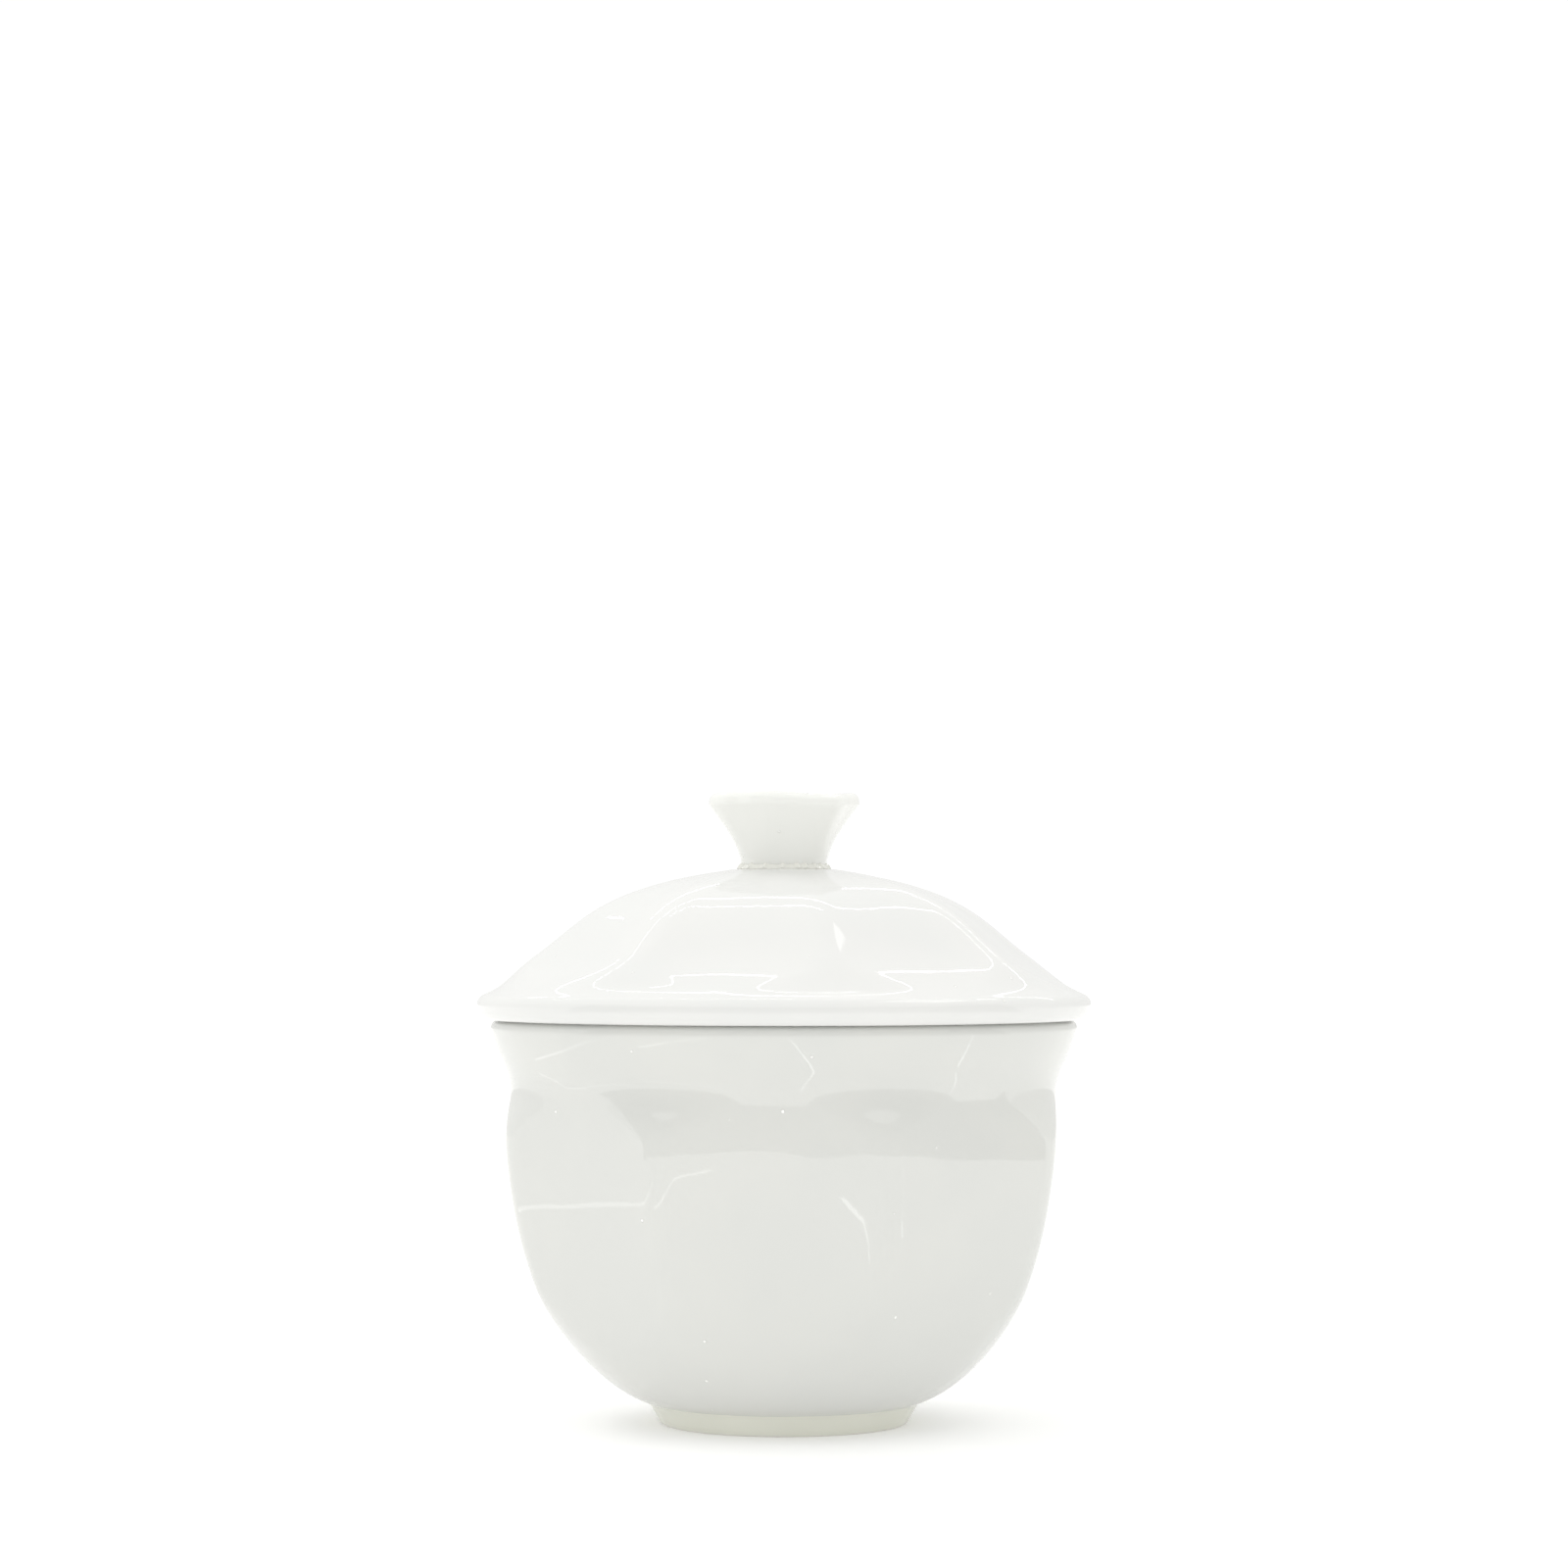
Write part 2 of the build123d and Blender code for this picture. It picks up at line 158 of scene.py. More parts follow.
# Each wave of the unevenness: how many times it goes round, and its length in height.
UNEVEN_WAVES = ((2, 90 * MM), (3, 60 * MM), (5, 45 * MM), (7, 38 * MM), (9, 30 * MM), (13, 24 * MM))

# ---- How finely the surfaces are drawn
STEP = 0.6 * MM  # along an outline
TURN_STEPS = 320  # round the axis


# ---- Outlines, as arrays of radius and height

def polar(angle, length):
    """A step of some length at an angle up from the horizontal, in degrees."""
    return np.array((math.cos(math.radians(angle)), math.sin(math.radians(angle)))) * length


def bezier(*points):
    """A cubic curve through its first and last points, in steps of about STEP."""
    p = np.array(points, float)
    count = max(4, int(np.linalg.norm(np.diff(p, axis=0), axis=1).sum() / STEP))
    t = np.linspace(0, 1, count + 1)[:, None]
    return (1 - t) ** 3 * p[0] + 3 * (1 - t) ** 2 * t * p[1] + 3 * (1 - t) * t**2 * p[2] + t**3 * p[3]


def arc(centre, radius, start, end):
    """Part of a circle between two angles in degrees, in steps fine enough for a small rounding."""
    count = max(6, int(abs(math.radians(end - start)) * radius / (STEP / 3)))
    angles = np.radians(np.linspace(start, end, count + 1))
    return np.array(centre) + radius * np.column_stack((np.cos(angles), np.sin(angles)))


def straight(start, end):
    """A line in steps of about STEP."""
    start, end = np.array(start, float), np.array(end, float)
    count = max(1, int(np.linalg.norm(end - start) / STEP))
    return start + np.linspace(0, 1, count + 1)[:, None] * (end - start)


def joined(*pieces):
    """One outline from several, without the points that two of them share."""
    kept = [pieces[0]]
    for piece in pieces[1:]:
        meets = np.linalg.norm(piece[0] - kept[-1][-1]) < STEP / 50
        kept.append(piece[1:] if meets else piece)
    return np.vstack(kept)


def blend(value, start, end):
    """Goes smoothly from 0 at start to 1 at end."""
    share = np.clip((value - start) / (end - start), 0, 1)
    return share * share * (3 - 2 * share)


def inset(outline, depth):
    """The outline moved in by a depth, for one that runs outwards and down."""
    along = np.gradient(outline, axis=0)
    along /= np.linalg.norm(along, axis=1)[:, None]
    return outline + depth * np.column_stack((along[:, 1], -along[:, 0]))


# ---- Surfaces

def uneven(theta, height, size, seed):
    """A slow hand-made unevenness of a wall, smooth all the way round, at most about that size."""
    numbers = np.random.default_rng(UNEVEN_SEED + seed)
    total = np.zeros(np.broadcast(theta, height).shape)
    for turns, length in UNEVEN_WAVES:
        phase, lean = numbers.uniform(0, 2 * math.pi, 2)
        total += np.sin(turns * theta + phase + np.sin(height / length * 2 * math.pi + lean))
    return size * total / len(UNEVEN_WAVES)


def panelled(radius, theta, flatness, ridge, turn):
    """The distance to a rounded octagon: a circle at flatness 0, and flat panels at flatness 1."""
    rounding = radius - flatness * np.maximum(radius - ridge, 0)
    offset = np.mod(theta - turn + math.pi / 2 + HALF_PANEL, 2 * HALF_PANEL) - HALF_PANEL
    half_flat = (radius - rounding) * math.tan(HALF_PANEL)
    flat = radius / np.cos(offset)
    corner = (radius - rounding) / math.cos(HALF_PANEL)
    from_ridge = HALF_PANEL - np.abs(offset)
    inside = np.maximum(rounding**2 - (corner * np.sin(from_ridge)) ** 2, 0)
    round_part = corner * np.cos(from_ridge) + np.sqrt(inside)
    return np.where(np.abs(radius * np.tan(offset)) <= half_flat, flat, round_part)


def lathe(name, outline, shape=None, closed=False):
    """A smooth mesh from an outline turned about the axis.

    The outline goes outwards along the bottom, up the outside and back down the inside, so that faces
    point out. It starts and ends on the axis, or runs round in a loop if closed. The shape gets radius,
    height and angle, and gives back the radius and height of the real surface.
    """
    theta = np.linspace(0, 2 * math.pi, TURN_STEPS, endpoint=False)[None, :]
    inner = outline if closed else outline[1:-1]
    radius = np.repeat(inner[:, :1], TURN_STEPS, axis=1)
    height = np.repeat(inner[:, 1:], TURN_STEPS, axis=1)
    if shape:
        radius, height = shape(radius, height, theta)
    points = np.stack((radius * np.cos(theta), radius * np.sin(theta), height), axis=2).reshape(-1, 3)
    rings = len(inner)
    start = np.arange(TURN_STEPS)
    after = (start + 1) % TURN_STEPS
    rows = np.arange(rings if closed else rings - 1)[:, None] * TURN_STEPS
    above = (rows + TURN_STEPS) % (rings * TURN_STEPS)
    quads = np.stack((rows + start, rows + after, above + after, above + start), axis=2).reshape(-1, 4)
    faces = quads.tolist()
    if not closed:
        first, last = len(points), len(points) + 1
        points = np.vstack((points, (0, 0, outline[0][1]), (0, 0, outline[-1][1])))
        top = (rings - 1) * TURN_STEPS
        faces += [(first, int(b), int(a)) for a, b in zip(start, after)]
        faces += [(last, int(top + a), int(top + b)) for a, b in zip(start, after)]
    mesh = bpy.data.meshes.new(name)
    mesh.from_pydata(points.tolist(), [], faces)
    mesh.shade_smooth()
    mesh.update()
    piece = bpy.data.objects.new(name, mesh)
    bpy.context.scene.collection.objects.link(piece)
    return piece


# ---- Cup

def bowl_outline():
    """The bowl from the middle of its underside, up the outside, over the lip and down to its floor."""
    base = np.array((BASE_RADIUS, FOOT_TOP))
    neck = np.array((NECK_RADIUS, NECK_HEIGHT))
    belly = bezier(
        base,
        base + polar(BASE_ANGLE, BELLY_REACH * (NECK_RADIUS - BASE_RADIUS)),
        neck - (0, BELLY_DROP * (NECK_HEIGHT - FOOT_TOP)),
        neck,
    )
    lip_centre = np.array((MOUTH_RADIUS - WALL / 2, CUP_TOP - LIP_ROUND))
    lean = 90 - FLARE_ANGLE
    lip = arc(lip_centre, LIP_ROUND, -lean, 180 - lean)
    rise = lip[0][1] - NECK_HEIGHT
    flare = bezier(
        neck, neck + (0, FLARE_START * rise), lip[0] - polar(FLARE_ANGLE, FLARE_END * rise), lip[0]
    )
    inner_neck = neck - (WALL, 0)
    inner_flare = bezier(
        lip[-1],
        lip[-1] - polar(FLARE_ANGLE, FLARE_END * rise),
        inner_neck + (0, FLARE_START * rise),
        inner_neck,
    )
    floor = np.array((FLOOR_FLAT, FLOOR_HEIGHT))
    inside = bezier(
        inner_neck,
        inner_neck - (0, INSIDE_DROP * (NECK_HEIGHT - FLOOR_HEIGHT)),
        floor + (INSIDE_REACH * (inner_neck[0] - FLOOR_FLAT), 0),
        floor,
    )
    recess_radius = FOOT_BOTTOM_RADIUS - FOOT_WIDTH - FOOT_FLARE
    recess = FOOT_TOP + BASE_RECESS
    underside = joined(
        straight((0, recess), (recess_radius, recess)),
        straight((recess_radius, recess), (recess_radius, FOOT_TOP)),
        straight((recess_radius, FOOT_TOP), base),
    )
    outline = joined(underside, belly, flare, lip, inner_flare, inside, straight(floor, (0, FLOOR_HEIGHT)))
    outside_ends = len(underside) + len(belly) + len(flare) - 2
    return outline, outside_ends


def make_bowl():
    """The bowl: eight flat panels outside, melting into a round base and a round flared mouth."""
    outline, outside_ends = bowl_outline()
    outside = (np.arange(len(outline) - 2) + 1 < outside_ends)[:, None]

    def shape(radius, height, theta):
        grown = blend(height - FOOT_TOP, *BELLY_FADE)
        melted = blend(height - NECK_HEIGHT, *NECK_FADE)
        flatness = np.where(outside, grown * (1 - melted), 0)
        wall = panelled(radius, theta, flatness, CUP_RIDGE, 0.0)
        from_foot = blend(height, FOOT_TOP, FOOT_TOP + ABOVE_FOOT)
        to_lip = blend(height, CUP_TOP - BELOW_LIP[0], CUP_TOP - BELOW_LIP[1])
        return wall + from_foot * (1 - to_lip) * uneven(theta, height, BOWL_UNEVEN, 1), height

    return lathe("bowl", outline, shape)


def make_foot_ring():
    """The tapered foot ring, with a small fillet of glaze where it meets the bowl."""
    inside = FOOT_BOTTOM_RADIUS - FOOT_WIDTH
    outer_slope = math.degrees(math.atan2(FOOT_TOP - FOOT_BOTTOM, FOOT_TOP_RADIUS - FOOT_BOTTOM_RADIUS))
    bottom = FOOT_BOTTOM + FOOT_EDGE
    outer_turn = arc((FOOT_BOTTOM_RADIUS - FOOT_EDGE, bottom), FOOT_EDGE, -90, outer_slope - 90)
    inner_turn = arc((inside + FOOT_EDGE, bottom), FOOT_EDGE, 195, 270)
    upper = np.array((FOOT_TOP_RADIUS, FOOT_TOP)) - polar(outer_slope, FOOT_FILLET)
    swept = bezier(
        upper,
        upper + polar(outer_slope, FOOT_FILLET / 2),
        (FOOT_TOP_RADIUS + FOOT_FILLET / 2, FOOT_TOP + FOOT_FILLET / 6),
        (FOOT_TOP_RADIUS + FOOT_FILLET, FOOT_TOP + FOOT_FILLET / 2),
    )
    root = (inside - FOOT_FLARE, FOOT_TOP + BASE_RECESS / 2)
    outline = joined(
        outer_turn,
        straight(outer_turn[-1], upper),
        swept,
        straight(swept[-1], root),
        straight(root, inner_turn[0]),
        inner_turn,
        straight(inner_turn[-1], outer_turn[0]),
    )[:-1]

    def shape(radius, height, theta):
        return radius + uneven(theta, height, FOOT_UNEVEN, 2) * blend(height, bottom, FOOT_TOP), height

    return lathe("foot_ring", outline, shape, closed=True)


# ---- Lid

def dome_outline():
    """The lid from the middle of its underside, out to the rolled edge and back up to the crown."""
    edge = np.array((LID_RADIUS - EDGE_RADIUS, SEAT_HEIGHT + SEAT_DROP + EDGE_RADIUS))
    brim = edge + polar(90 - BRIM_ANGLE, EDGE_RADIUS)
    crown = np.array((CROWN_RADIUS, CROWN_HEIGHT))
    width = LID_RADIUS - CROWN_RADIUS
    dome = bezier(
        brim,
        brim + polar(180 - BRIM_ANGLE, BRIM_REACH * width),
        crown + polar(-CROWN_ANGLE, CROWN_REACH * width),
        crown,
    )
    land = np.array((RING_RADIUS - RING_WIDTH - LAND_MARGIN, RING_TOP))
    land_end = np.array((RING_RADIUS + LAND_MARGIN, RING_TOP))
    seat = np.array((land_end[0] + LID_WALL / 2, SEAT_HEIGHT))
    ceiling = np.array((0, CROWN_HEIGHT - LID_WALL))
    under = inset(dome[::-1], LID_WALL)
    under = under[(under[:, 0] > 0) & (under[:, 0] < LAND_SHARE * land[0])]
    inside = joined(
        straight(ceiling, under[0]),
        under,
        bezier(
            under[-1],
            under[-1] + polar(LAND_ANGLES[0], LAND_TURN),
            land + polar(LAND_ANGLES[1], LAND_TURN),
            land,
        ),
    )
    seat_end = (edge[0] - EDGE_RADIUS / 2, SEAT_HEIGHT)
    rolled = arc(edge, EDGE_RADIUS, -110, 90 - BRIM_ANGLE)
    rolled[:, 1] -= EDGE_SAG * blend(edge[1] - rolled[:, 1], 0, EDGE_RADIUS)
    return joined(
        inside,
        straight(land, land_end),
        straight(land_end, seat),
        straight(seat, seat_end),
        straight(seat_end, rolled[0]),
        rolled,
        dome,
        straight(crown, (0, CROWN_HEIGHT)),
    ), len(inside)


def make_lid_dome():
    """The lid: eight flat panels between a round crown and a concave brim with a round rolled edge."""
    outline, inside_ends = dome_outline()
    outside = (np.arange(len(outline) - 2) + 1 > inside_ends)[:, None]
    reach = LID_RADIUS - EDGE_RADIUS - CROWN_RADIUS

    def shape(radius, height, theta):
        share = (radius - CROWN_RADIUS) / reach
        flatness = np.where(outside, blend(share, *CROWN_FADE) * (1 - blend(share, *BRIM_FADE)), 0)
        wall = panelled(radius, theta, flatness, LID_RIDGE, LID_TURN)
        settled = blend(radius, CROWN_RADIUS, 2 * CROWN_RADIUS) * (1 - blend(share, 0.9, 1.0))
        return wall, height + settled * uneven(theta, radius, DOME_UNEVEN, 3)

    return lathe("lid_dome", outline, shape)


def make_seat_ring():
    """The bare ring under the lid that keeps it centred in the mouth."""
    inner = RING_RADIUS - RING_WIDTH
    low = RING_BOTTOM + RING_EDGE
    outline = joined(
        arc((RING_RADIUS - RING_EDGE, low), RING_EDGE, -90, 0),
        straight((RING_RADIUS, low), (RING_RADIUS, RING_TOP)),
        straight((RING_RADIUS, RING_TOP), (inner, RING_TOP)),
        straight((inner, RING_TOP), (inner, low)),
        arc((inner + RING_EDGE, low), RING_EDGE, 180, 270),
        straight((inner + RING_EDGE, RING_BOTTOM), (RING_RADIUS - RING_EDGE, RING_BOTTOM)),
    )[:-1]

    def shape(radius, height, theta):
        return radius - np.abs(uneven(theta, height, RING_UNEVEN, 4)), height

    return lathe("lid_seat_ring", outline, shape, closed=True)


# ---- Knob

def knob_outline():
    """The knob from the middle of its foot, up the flare, over the lip and down into the dish."""
    foot = np.array((KNOB_FOOT_RADIUS, SLIP_TOP))
    widest = np.array((KNOB_LIP_RADIUS, KNOB_TOP - KNOB_LIP_HEIGHT))
    rise = widest[1] - foot[1]
    flare = bezier(
        foot,
        foot + polar(KNOB_FOOT_ANGLE, KNOB_FOOT_REACH * rise),
        widest - polar(KNOB_LIP_ANGLE, KNOB_LIP_REACH * rise),
        widest,
    )
    lip_side = np.array((KNOB_LIP_RADIUS, KNOB_TOP - KNOB_ROUNDING))
    side = bezier(
        widest, widest + polar(KNOB_LIP_ANGLE, KNOB_SIDE[0]), lip_side - (0, KNOB_SIDE[1]), lip_side
    )
    outer_turn = arc(lip_side - (KNOB_ROUNDING, 0), KNOB_ROUNDING, 0, 90)
    dish = KNOB_LIP_RADIUS - LOBE_DEPTH - KNOB_ROUNDING - KNOB_LAND - DISH_ROUNDING
    inner_turn = arc((dish + DISH_ROUNDING, KNOB_TOP - DISH_ROUNDING), DISH_ROUNDING, 90, 165)
    middle = np.array((0, KNOB_TOP - DISH_DEPTH))
    bottom = bezier(
        inner_turn[-1],
        inner_turn[-1] + polar(255, DISH_DROP * DISH_DEPTH),
        middle + (DISH_REACH * dish, 0),
        middle,
    )
    return joined(
        straight((0, KNOB_BOTTOM), (KNOB_FOOT_RADIUS, KNOB_BOTTOM)),
        straight((KNOB_FOOT_RADIUS, KNOB_BOTTOM), foot),
        flare,
        side,
        outer_turn,
        straight(outer_turn[-1], inner_turn[0]),
        inner_turn,
        bottom,
    )


def make_knob():
    """The hand-pressed knob: a flare with six uneven lobes round its lip, and a lip that rises and dips."""
    def shape(radius, height, theta):
        around = theta - LOBE_TURN
        shift = LOBE_SHIFT[0] * np.sin(2 * around) - LOBE_SHIFT[1] * np.cos(3 * around)
        lobes = np.cos(LOBES * (around - shift))
        high = blend(height, SLIP_TOP, KNOB_TOP - KNOB_LIP_HEIGHT)
        out = blend(radius, 0, KNOB_LIP_RADIUS)
        sway = np.sin(2 * around + 0.6) + LIP_RIPPLE * np.sin(3 * around + 2.1)
        wave = LIP_WAVE * sway / (1 + LIP_RIPPLE) - LIP_WAVE
        return radius + LOBE_DEPTH * lobes * high * out, height + wave * high * out

    return lathe("knob", knob_outline(), shape)


def make_slip_joint():
    """The collar of slip squeezed out round the knob's foot, with small beads in it."""
    reach = SLIP_RADIUS - KNOB_FOOT_RADIUS
    outside = np.array((SLIP_RADIUS, CROWN_HEIGHT))
    top = np.array((KNOB_FOOT_RADIUS - 0.2 * MM, SLIP_TOP))
    outline = joined(
        straight((0, CROWN_HEIGHT), outside),
        bezier(outside, outside - (0.1 * reach, -0.45 * reach), top + (0.5 * reach, -0.1 * reach), top),
        straight(top, (0, SLIP_TOP)),
    )
    numbers = np.random.default_rng(UNEVEN_SEED + 5)
    beads = np.cumsum(numbers.uniform(*BEAD_SPACING, BEADS))
    widths = numbers.uniform(*BEAD_WIDTH, len(beads))

    def shape(radius, height, theta):
        swell = sum(
            np.exp(-(((theta - at + math.pi) % (2 * math.pi) - math.pi) / width) ** 2)
            for at, width in zip(beads, widths)
        )
        from_knob = blend(radius, KNOB_FOOT_RADIUS - MM, KNOB_FOOT_RADIUS)
        to_rim = blend(radius, SLIP_RADIUS - 0.2 * MM, SLIP_RADIUS)
        relief = BEAD_HEIGHT * swell - GROOVE_DEPTH + uneven(theta, height, SLIP_UNEVEN, 6)
        lumps = from_knob * (1 - to_rim) * relief
        raised = height + np.where(height > CROWN_HEIGHT, 0.6 * lumps, 0)
        return radius + 0.8 * lumps, raised

    return lathe("knob_slip_joint", outline, shape)


# ---- Materials

GLAZE_IOR = 1.52
GLAZE_ROUGHNESS = (0.015, 0.045)
CLOUD_SIZE = 22 * MM
RIPPLE_SIZE = 9 * MM
RIPPLE_DEPTH = 0.025 * MM
PEEL_SIZE = 1.1 * MM
PEEL_DEPTH = 0.0016 * MM
PIN_CELL = 7 * MM  # one pinhole at most in each cell
PIN_RADIUS = (0.03, 0.055)  # of its full part and of its edge, as shares of the cell
PIN_CHOSEN = (0.2, 0.25)  # share of the cells that have none
PIN_DEPTH = 0.12 * MM
# painted glint: the near-white colour painted into the middle of each pinhole
PINHOLE_PAINTED_GLINT_WHITE = (0.97, 0.97, 0.95)
WIPED_CLAY = ((0.74, 0.72, 0.67), (0.80, 0.79, 0.75))
BARE_CLAY = ((0.80, 0.77, 0.71), (0.88, 0.86, 0.81))
CLAY_ROUGHNESS = 0.62
CLAY_RELIEF = 0.03 * MM


class Shading:
    """The nodes of a new material or of a given world, with short ways to add and join them."""

    def __init__(self, name, world=None):
        self.owner = world or bpy.data.materials.new(name)
        self.owner.use_nodes = True
        self.nodes = self.owner.node_tree.nodes
        self.links = self.owner.node_tree.links
        self.shader = self.nodes["Background" if world else "Principled BSDF"]
        place = self.add("ShaderNodeTexCoord")
        self.place = place.outputs["Object"]
        self.direction = place.outputs["Generated"]

    def add(self, kind, links=None, **properties):
        """A node with its properties and incoming links set."""
        node = self.nodes.new(kind)
        for key, value in properties.items():
            setattr(node, key, value)
        for key, socket in (links or {}).items():
            self.links.new(socket, node.inputs[key])
        return node

    def noise(self, size, detail=2.0, roughness=0.5):
        """A soft random pattern with patches of about that size."""
        node = self.add("ShaderNodeTexNoise", {"Vector": self.place})
        node.inputs["Scale"].default_value = 1 / size
        node.inputs["Detail"].default_value = detail
        node.inputs["Roughness"].default_value = roughness
        return node.outputs["Fac"]

    def spread(self, value, low, high, to_low=0.0, to_high=1.0):
        """A value moved from one range to another, smoothly."""
        node = self.add("ShaderNodeMapRange", {"Value": value}, interpolation_type="SMOOTHSTEP")
        for key, number in zip(("From Min", "From Max", "To Min", "To Max"), (low, high, to_low, to_high)):
            node.inputs[key].default_value = number
        return node.outputs["Result"]

    def times(self, first, second):
        """The product of two values."""
        node = self.add("ShaderNodeMath", operation="MULTIPLY")
        self.links.new(first, node.inputs[0])
        self.links.new(second, node.inputs[1])
        return node.outputs[0]

    def mixed(self, share, first, second):
        """A colour between two, each given as a colour or as another node's socket."""
        node = self.add("ShaderNodeMix", data_type="RGBA")
        self.links.new(share, node.inputs["Factor"])
        for socket, colour in zip((node.inputs[6], node.inputs[7]), (first, second)):
            if isinstance(colour, tuple):
                socket.default_value = (*colour, 1)
            else:
                self.links.new(colour, socket)
        return node.outputs[2]

    def height(self):
        """The height of the place on the piece."""
        return self.add("ShaderNodeSeparateXYZ", {"Vector": self.place}).outputs["Z"]

    def bump(self, height, distance, before=None):
        """A relief of that depth, over the relief that came before it."""
        node = self.add("ShaderNodeBump", {"Height": height})
        node.inputs["Strength"].default_value = 1.0
        node.inputs["Distance"].default_value = distance
        if before:
            self.links.new(before, node.inputs["Normal"])
        return node.outputs["Normal"]

    def finish(self, colour, roughness, normal):
        """The three results joined to the shader."""
        for key, socket in (("Base Color", colour), ("Roughness", roughness), ("Normal", normal)):
            self.links.new(socket, self.shader.inputs[key])
        return self.owner


def porcelain(name, tone, shade, bare=None, ripple=1.0):
    """Clear gloss glaze over white porcelain, wiped off to bare clay where bare says so.

    The glaze has slow changes of tone, ripples that bend reflections, orange peel and sparse pinholes, each
    with a painted glint: its middle is painted near white.
    Bare is a function that gives a mask socket, 1 where the clay is bare.
    """
    look = Shading(name)
    look.shader.inputs["IOR"].default_value = GLAZE_IOR
    cloud = look.spread(look.noise(CLOUD_SIZE), 0.35, 0.65)
    colour = look.mixed(cloud, tone, shade)
    pin_cells = look.add("ShaderNodeTexVoronoi", {"Vector": look.place}, feature="F1")
    pin_cells.inputs["Scale"].default_value = 1 / PIN_CELL
    pinhole_and_painted_glint = look.spread(pin_cells.outputs["Distance"], *PIN_RADIUS, 1.0, 0.0)
    chosen = look.add("ShaderNodeSeparateColor", {"Color": pin_cells.outputs["Color"]}).outputs[0]
    pinhole_and_painted_glint = look.times(pinhole_and_painted_glint, look.spread(chosen, *PIN_CHOSEN))
    # Painted glint: the middle of each pinhole is painted near white; the same mask also gives the pinhole
    # its relief.
    colour = look.mixed(pinhole_and_painted_glint, colour, PINHOLE_PAINTED_GLINT_WHITE)
    normal = look.bump(look.noise(RIPPLE_SIZE, 1.0), RIPPLE_DEPTH * ripple)
    normal = look.bump(look.noise(PEEL_SIZE, 1.0), PEEL_DEPTH, normal)
    normal = look.bump(pinhole_and_painted_glint, PIN_DEPTH, normal)
    roughness = look.spread(look.noise(5 * MM, 3.0), 0.3, 0.75, *GLAZE_ROUGHNESS)
    if bare:
        mask = bare(look)
        grain = look.noise(0.5 * MM, 4.0, 0.7)
        clay = look.mixed(grain, *WIPED_CLAY)
        colour = look.mixed(mask, colour, clay)
        roughness = look.spread(mask, 0.0, 1.0, 0.05, CLAY_ROUGHNESS)
        normal = look.bump(look.times(grain, mask), CLAY_RELIEF, normal)
    return look.finish(colour, roughness, normal)


def bare_below(height, fade):
    """A mask of everything below a height, with an uneven edge where the glaze was wiped off."""
    def mask(look):
        ragged = look.spread(look.noise(3 * MM, 3.0), 0.3, 0.7, -fade, fade)
        total = look.add("ShaderNodeMath", operation="ADD")
        look.links.new(look.height(), total.inputs[0])
        look.links.new(ragged, total.inputs[1])
        return look.spread(total.outputs[0], height, height + fade / 2, 1.0, 0.0)
    return mask


def bare_clay(name):
    """Bare fired porcelain: fine-grained, matt and slightly warm."""
    look = Shading(name)
    grain = look.noise(0.45 * MM, 4.0, 0.7)
    cloud = look.noise(9 * MM, 2.0)
    colour = look.mixed(cloud, *BARE_CLAY)
    roughness = look.spread(grain, 0.3, 0.7, 0.5, 0.68)
    return look.finish(colour, roughness, look.bump(grain, CLAY_RELIEF))


def dress(piece, material, body, node):
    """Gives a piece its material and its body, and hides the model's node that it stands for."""
    piece.data.materials.append(material)
    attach(piece, body)
    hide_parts(node)


# Each piece has its own white over one glaze. The cup's is darker, as painted shade, and the foot's, lid's
# and knob's are lighter, as painted light. The foot's is also warmer, and the slip's is near the lid's and
# a little yellower.
CUP_WHITE_PAINTED_SHADE = ((0.70, 0.704, 0.678), (0.686, 0.692, 0.669))
FOOT_WHITE_PAINTED_LIGHT = ((0.79, 0.795, 0.715), (0.77, 0.775, 0.695))
LID_WHITE_PAINTED_LIGHT = ((0.785, 0.785, 0.772), (0.77, 0.774, 0.762))
KNOB_WHITE_PAINTED_LIGHT = ((0.87, 0.87, 0.84), (0.855, 0.86, 0.83))
SLIP_WHITE = ((0.80, 0.80, 0.735), (0.84, 0.84, 0.79))

foot_bare = bare_below(FOOT_BOTTOM + 0.2 * MM, 0.12 * MM)
# The cup's, foot's, lid's and knob's glazes are lit and shaded copies of one glaze: painted light and
# painted shade.
dress(make_bowl(), porcelain("cup_glaze", *CUP_WHITE_PAINTED_SHADE), "cup", "bowl")
dress(make_foot_ring(), porcelain("foot_glaze", *FOOT_WHITE_PAINTED_LIGHT, foot_bare), "cup", "foot_ring")
dress(make_lid_dome(), porcelain("lid_glaze", *LID_WHITE_PAINTED_LIGHT), "lid", "lid_dome")
dress(make_seat_ring(), bare_clay("bare_porcelain"), "lid", "lid_seat_ring")
dress(make_knob(), porcelain("knob_glaze", *KNOB_WHITE_PAINTED_LIGHT), "lid", "knob")
slip_glaze = porcelain("slip_glaze", *SLIP_WHITE, ripple=2.0)
dress(make_slip_joint(), slip_glaze, "lid", "knob_slip_joint")


# ---- Stage, light and camera

CUP_MIDDLE = Vector((0, 0, 0.08))
STRIPS = (  # name, start, end, width and brightness of each thin light
    ("back", (-0.85, 0.69, 1.0), (0.62, 0.69, 1.0), 0.006, 14.0),
    ("right", (0.62, 0.69, 1.0), (0.62, 0.0, 1.0), 0.006, 14.0),
    ("middle", (-0.35, 0.45, 1.0), (0.16, 0.45, 1.0), 0.006, 14.0),
    ("far", (-0.75, 1.4, 1.0), (1.3, 1.4, 1.0), 0.008, 14.0),
    ("low_front", (0.010, -0.16, 0.004), (0.022, -0.085, 0.004), 0.0012, 2.6),
    ("low_right", (0.36, -0.09, 0.004), (0.11, -0.04, 0.004), 0.002, 2.2),
    ("low_left", (-0.16, -0.12, 0.004), (-0.17, 0.06, 0.004), 0.002, 1.08),
    ("low_corner", (-0.02, -0.215, 0.004), (-0.112, -0.093, 0.004), 0.0015, 2.2),
)
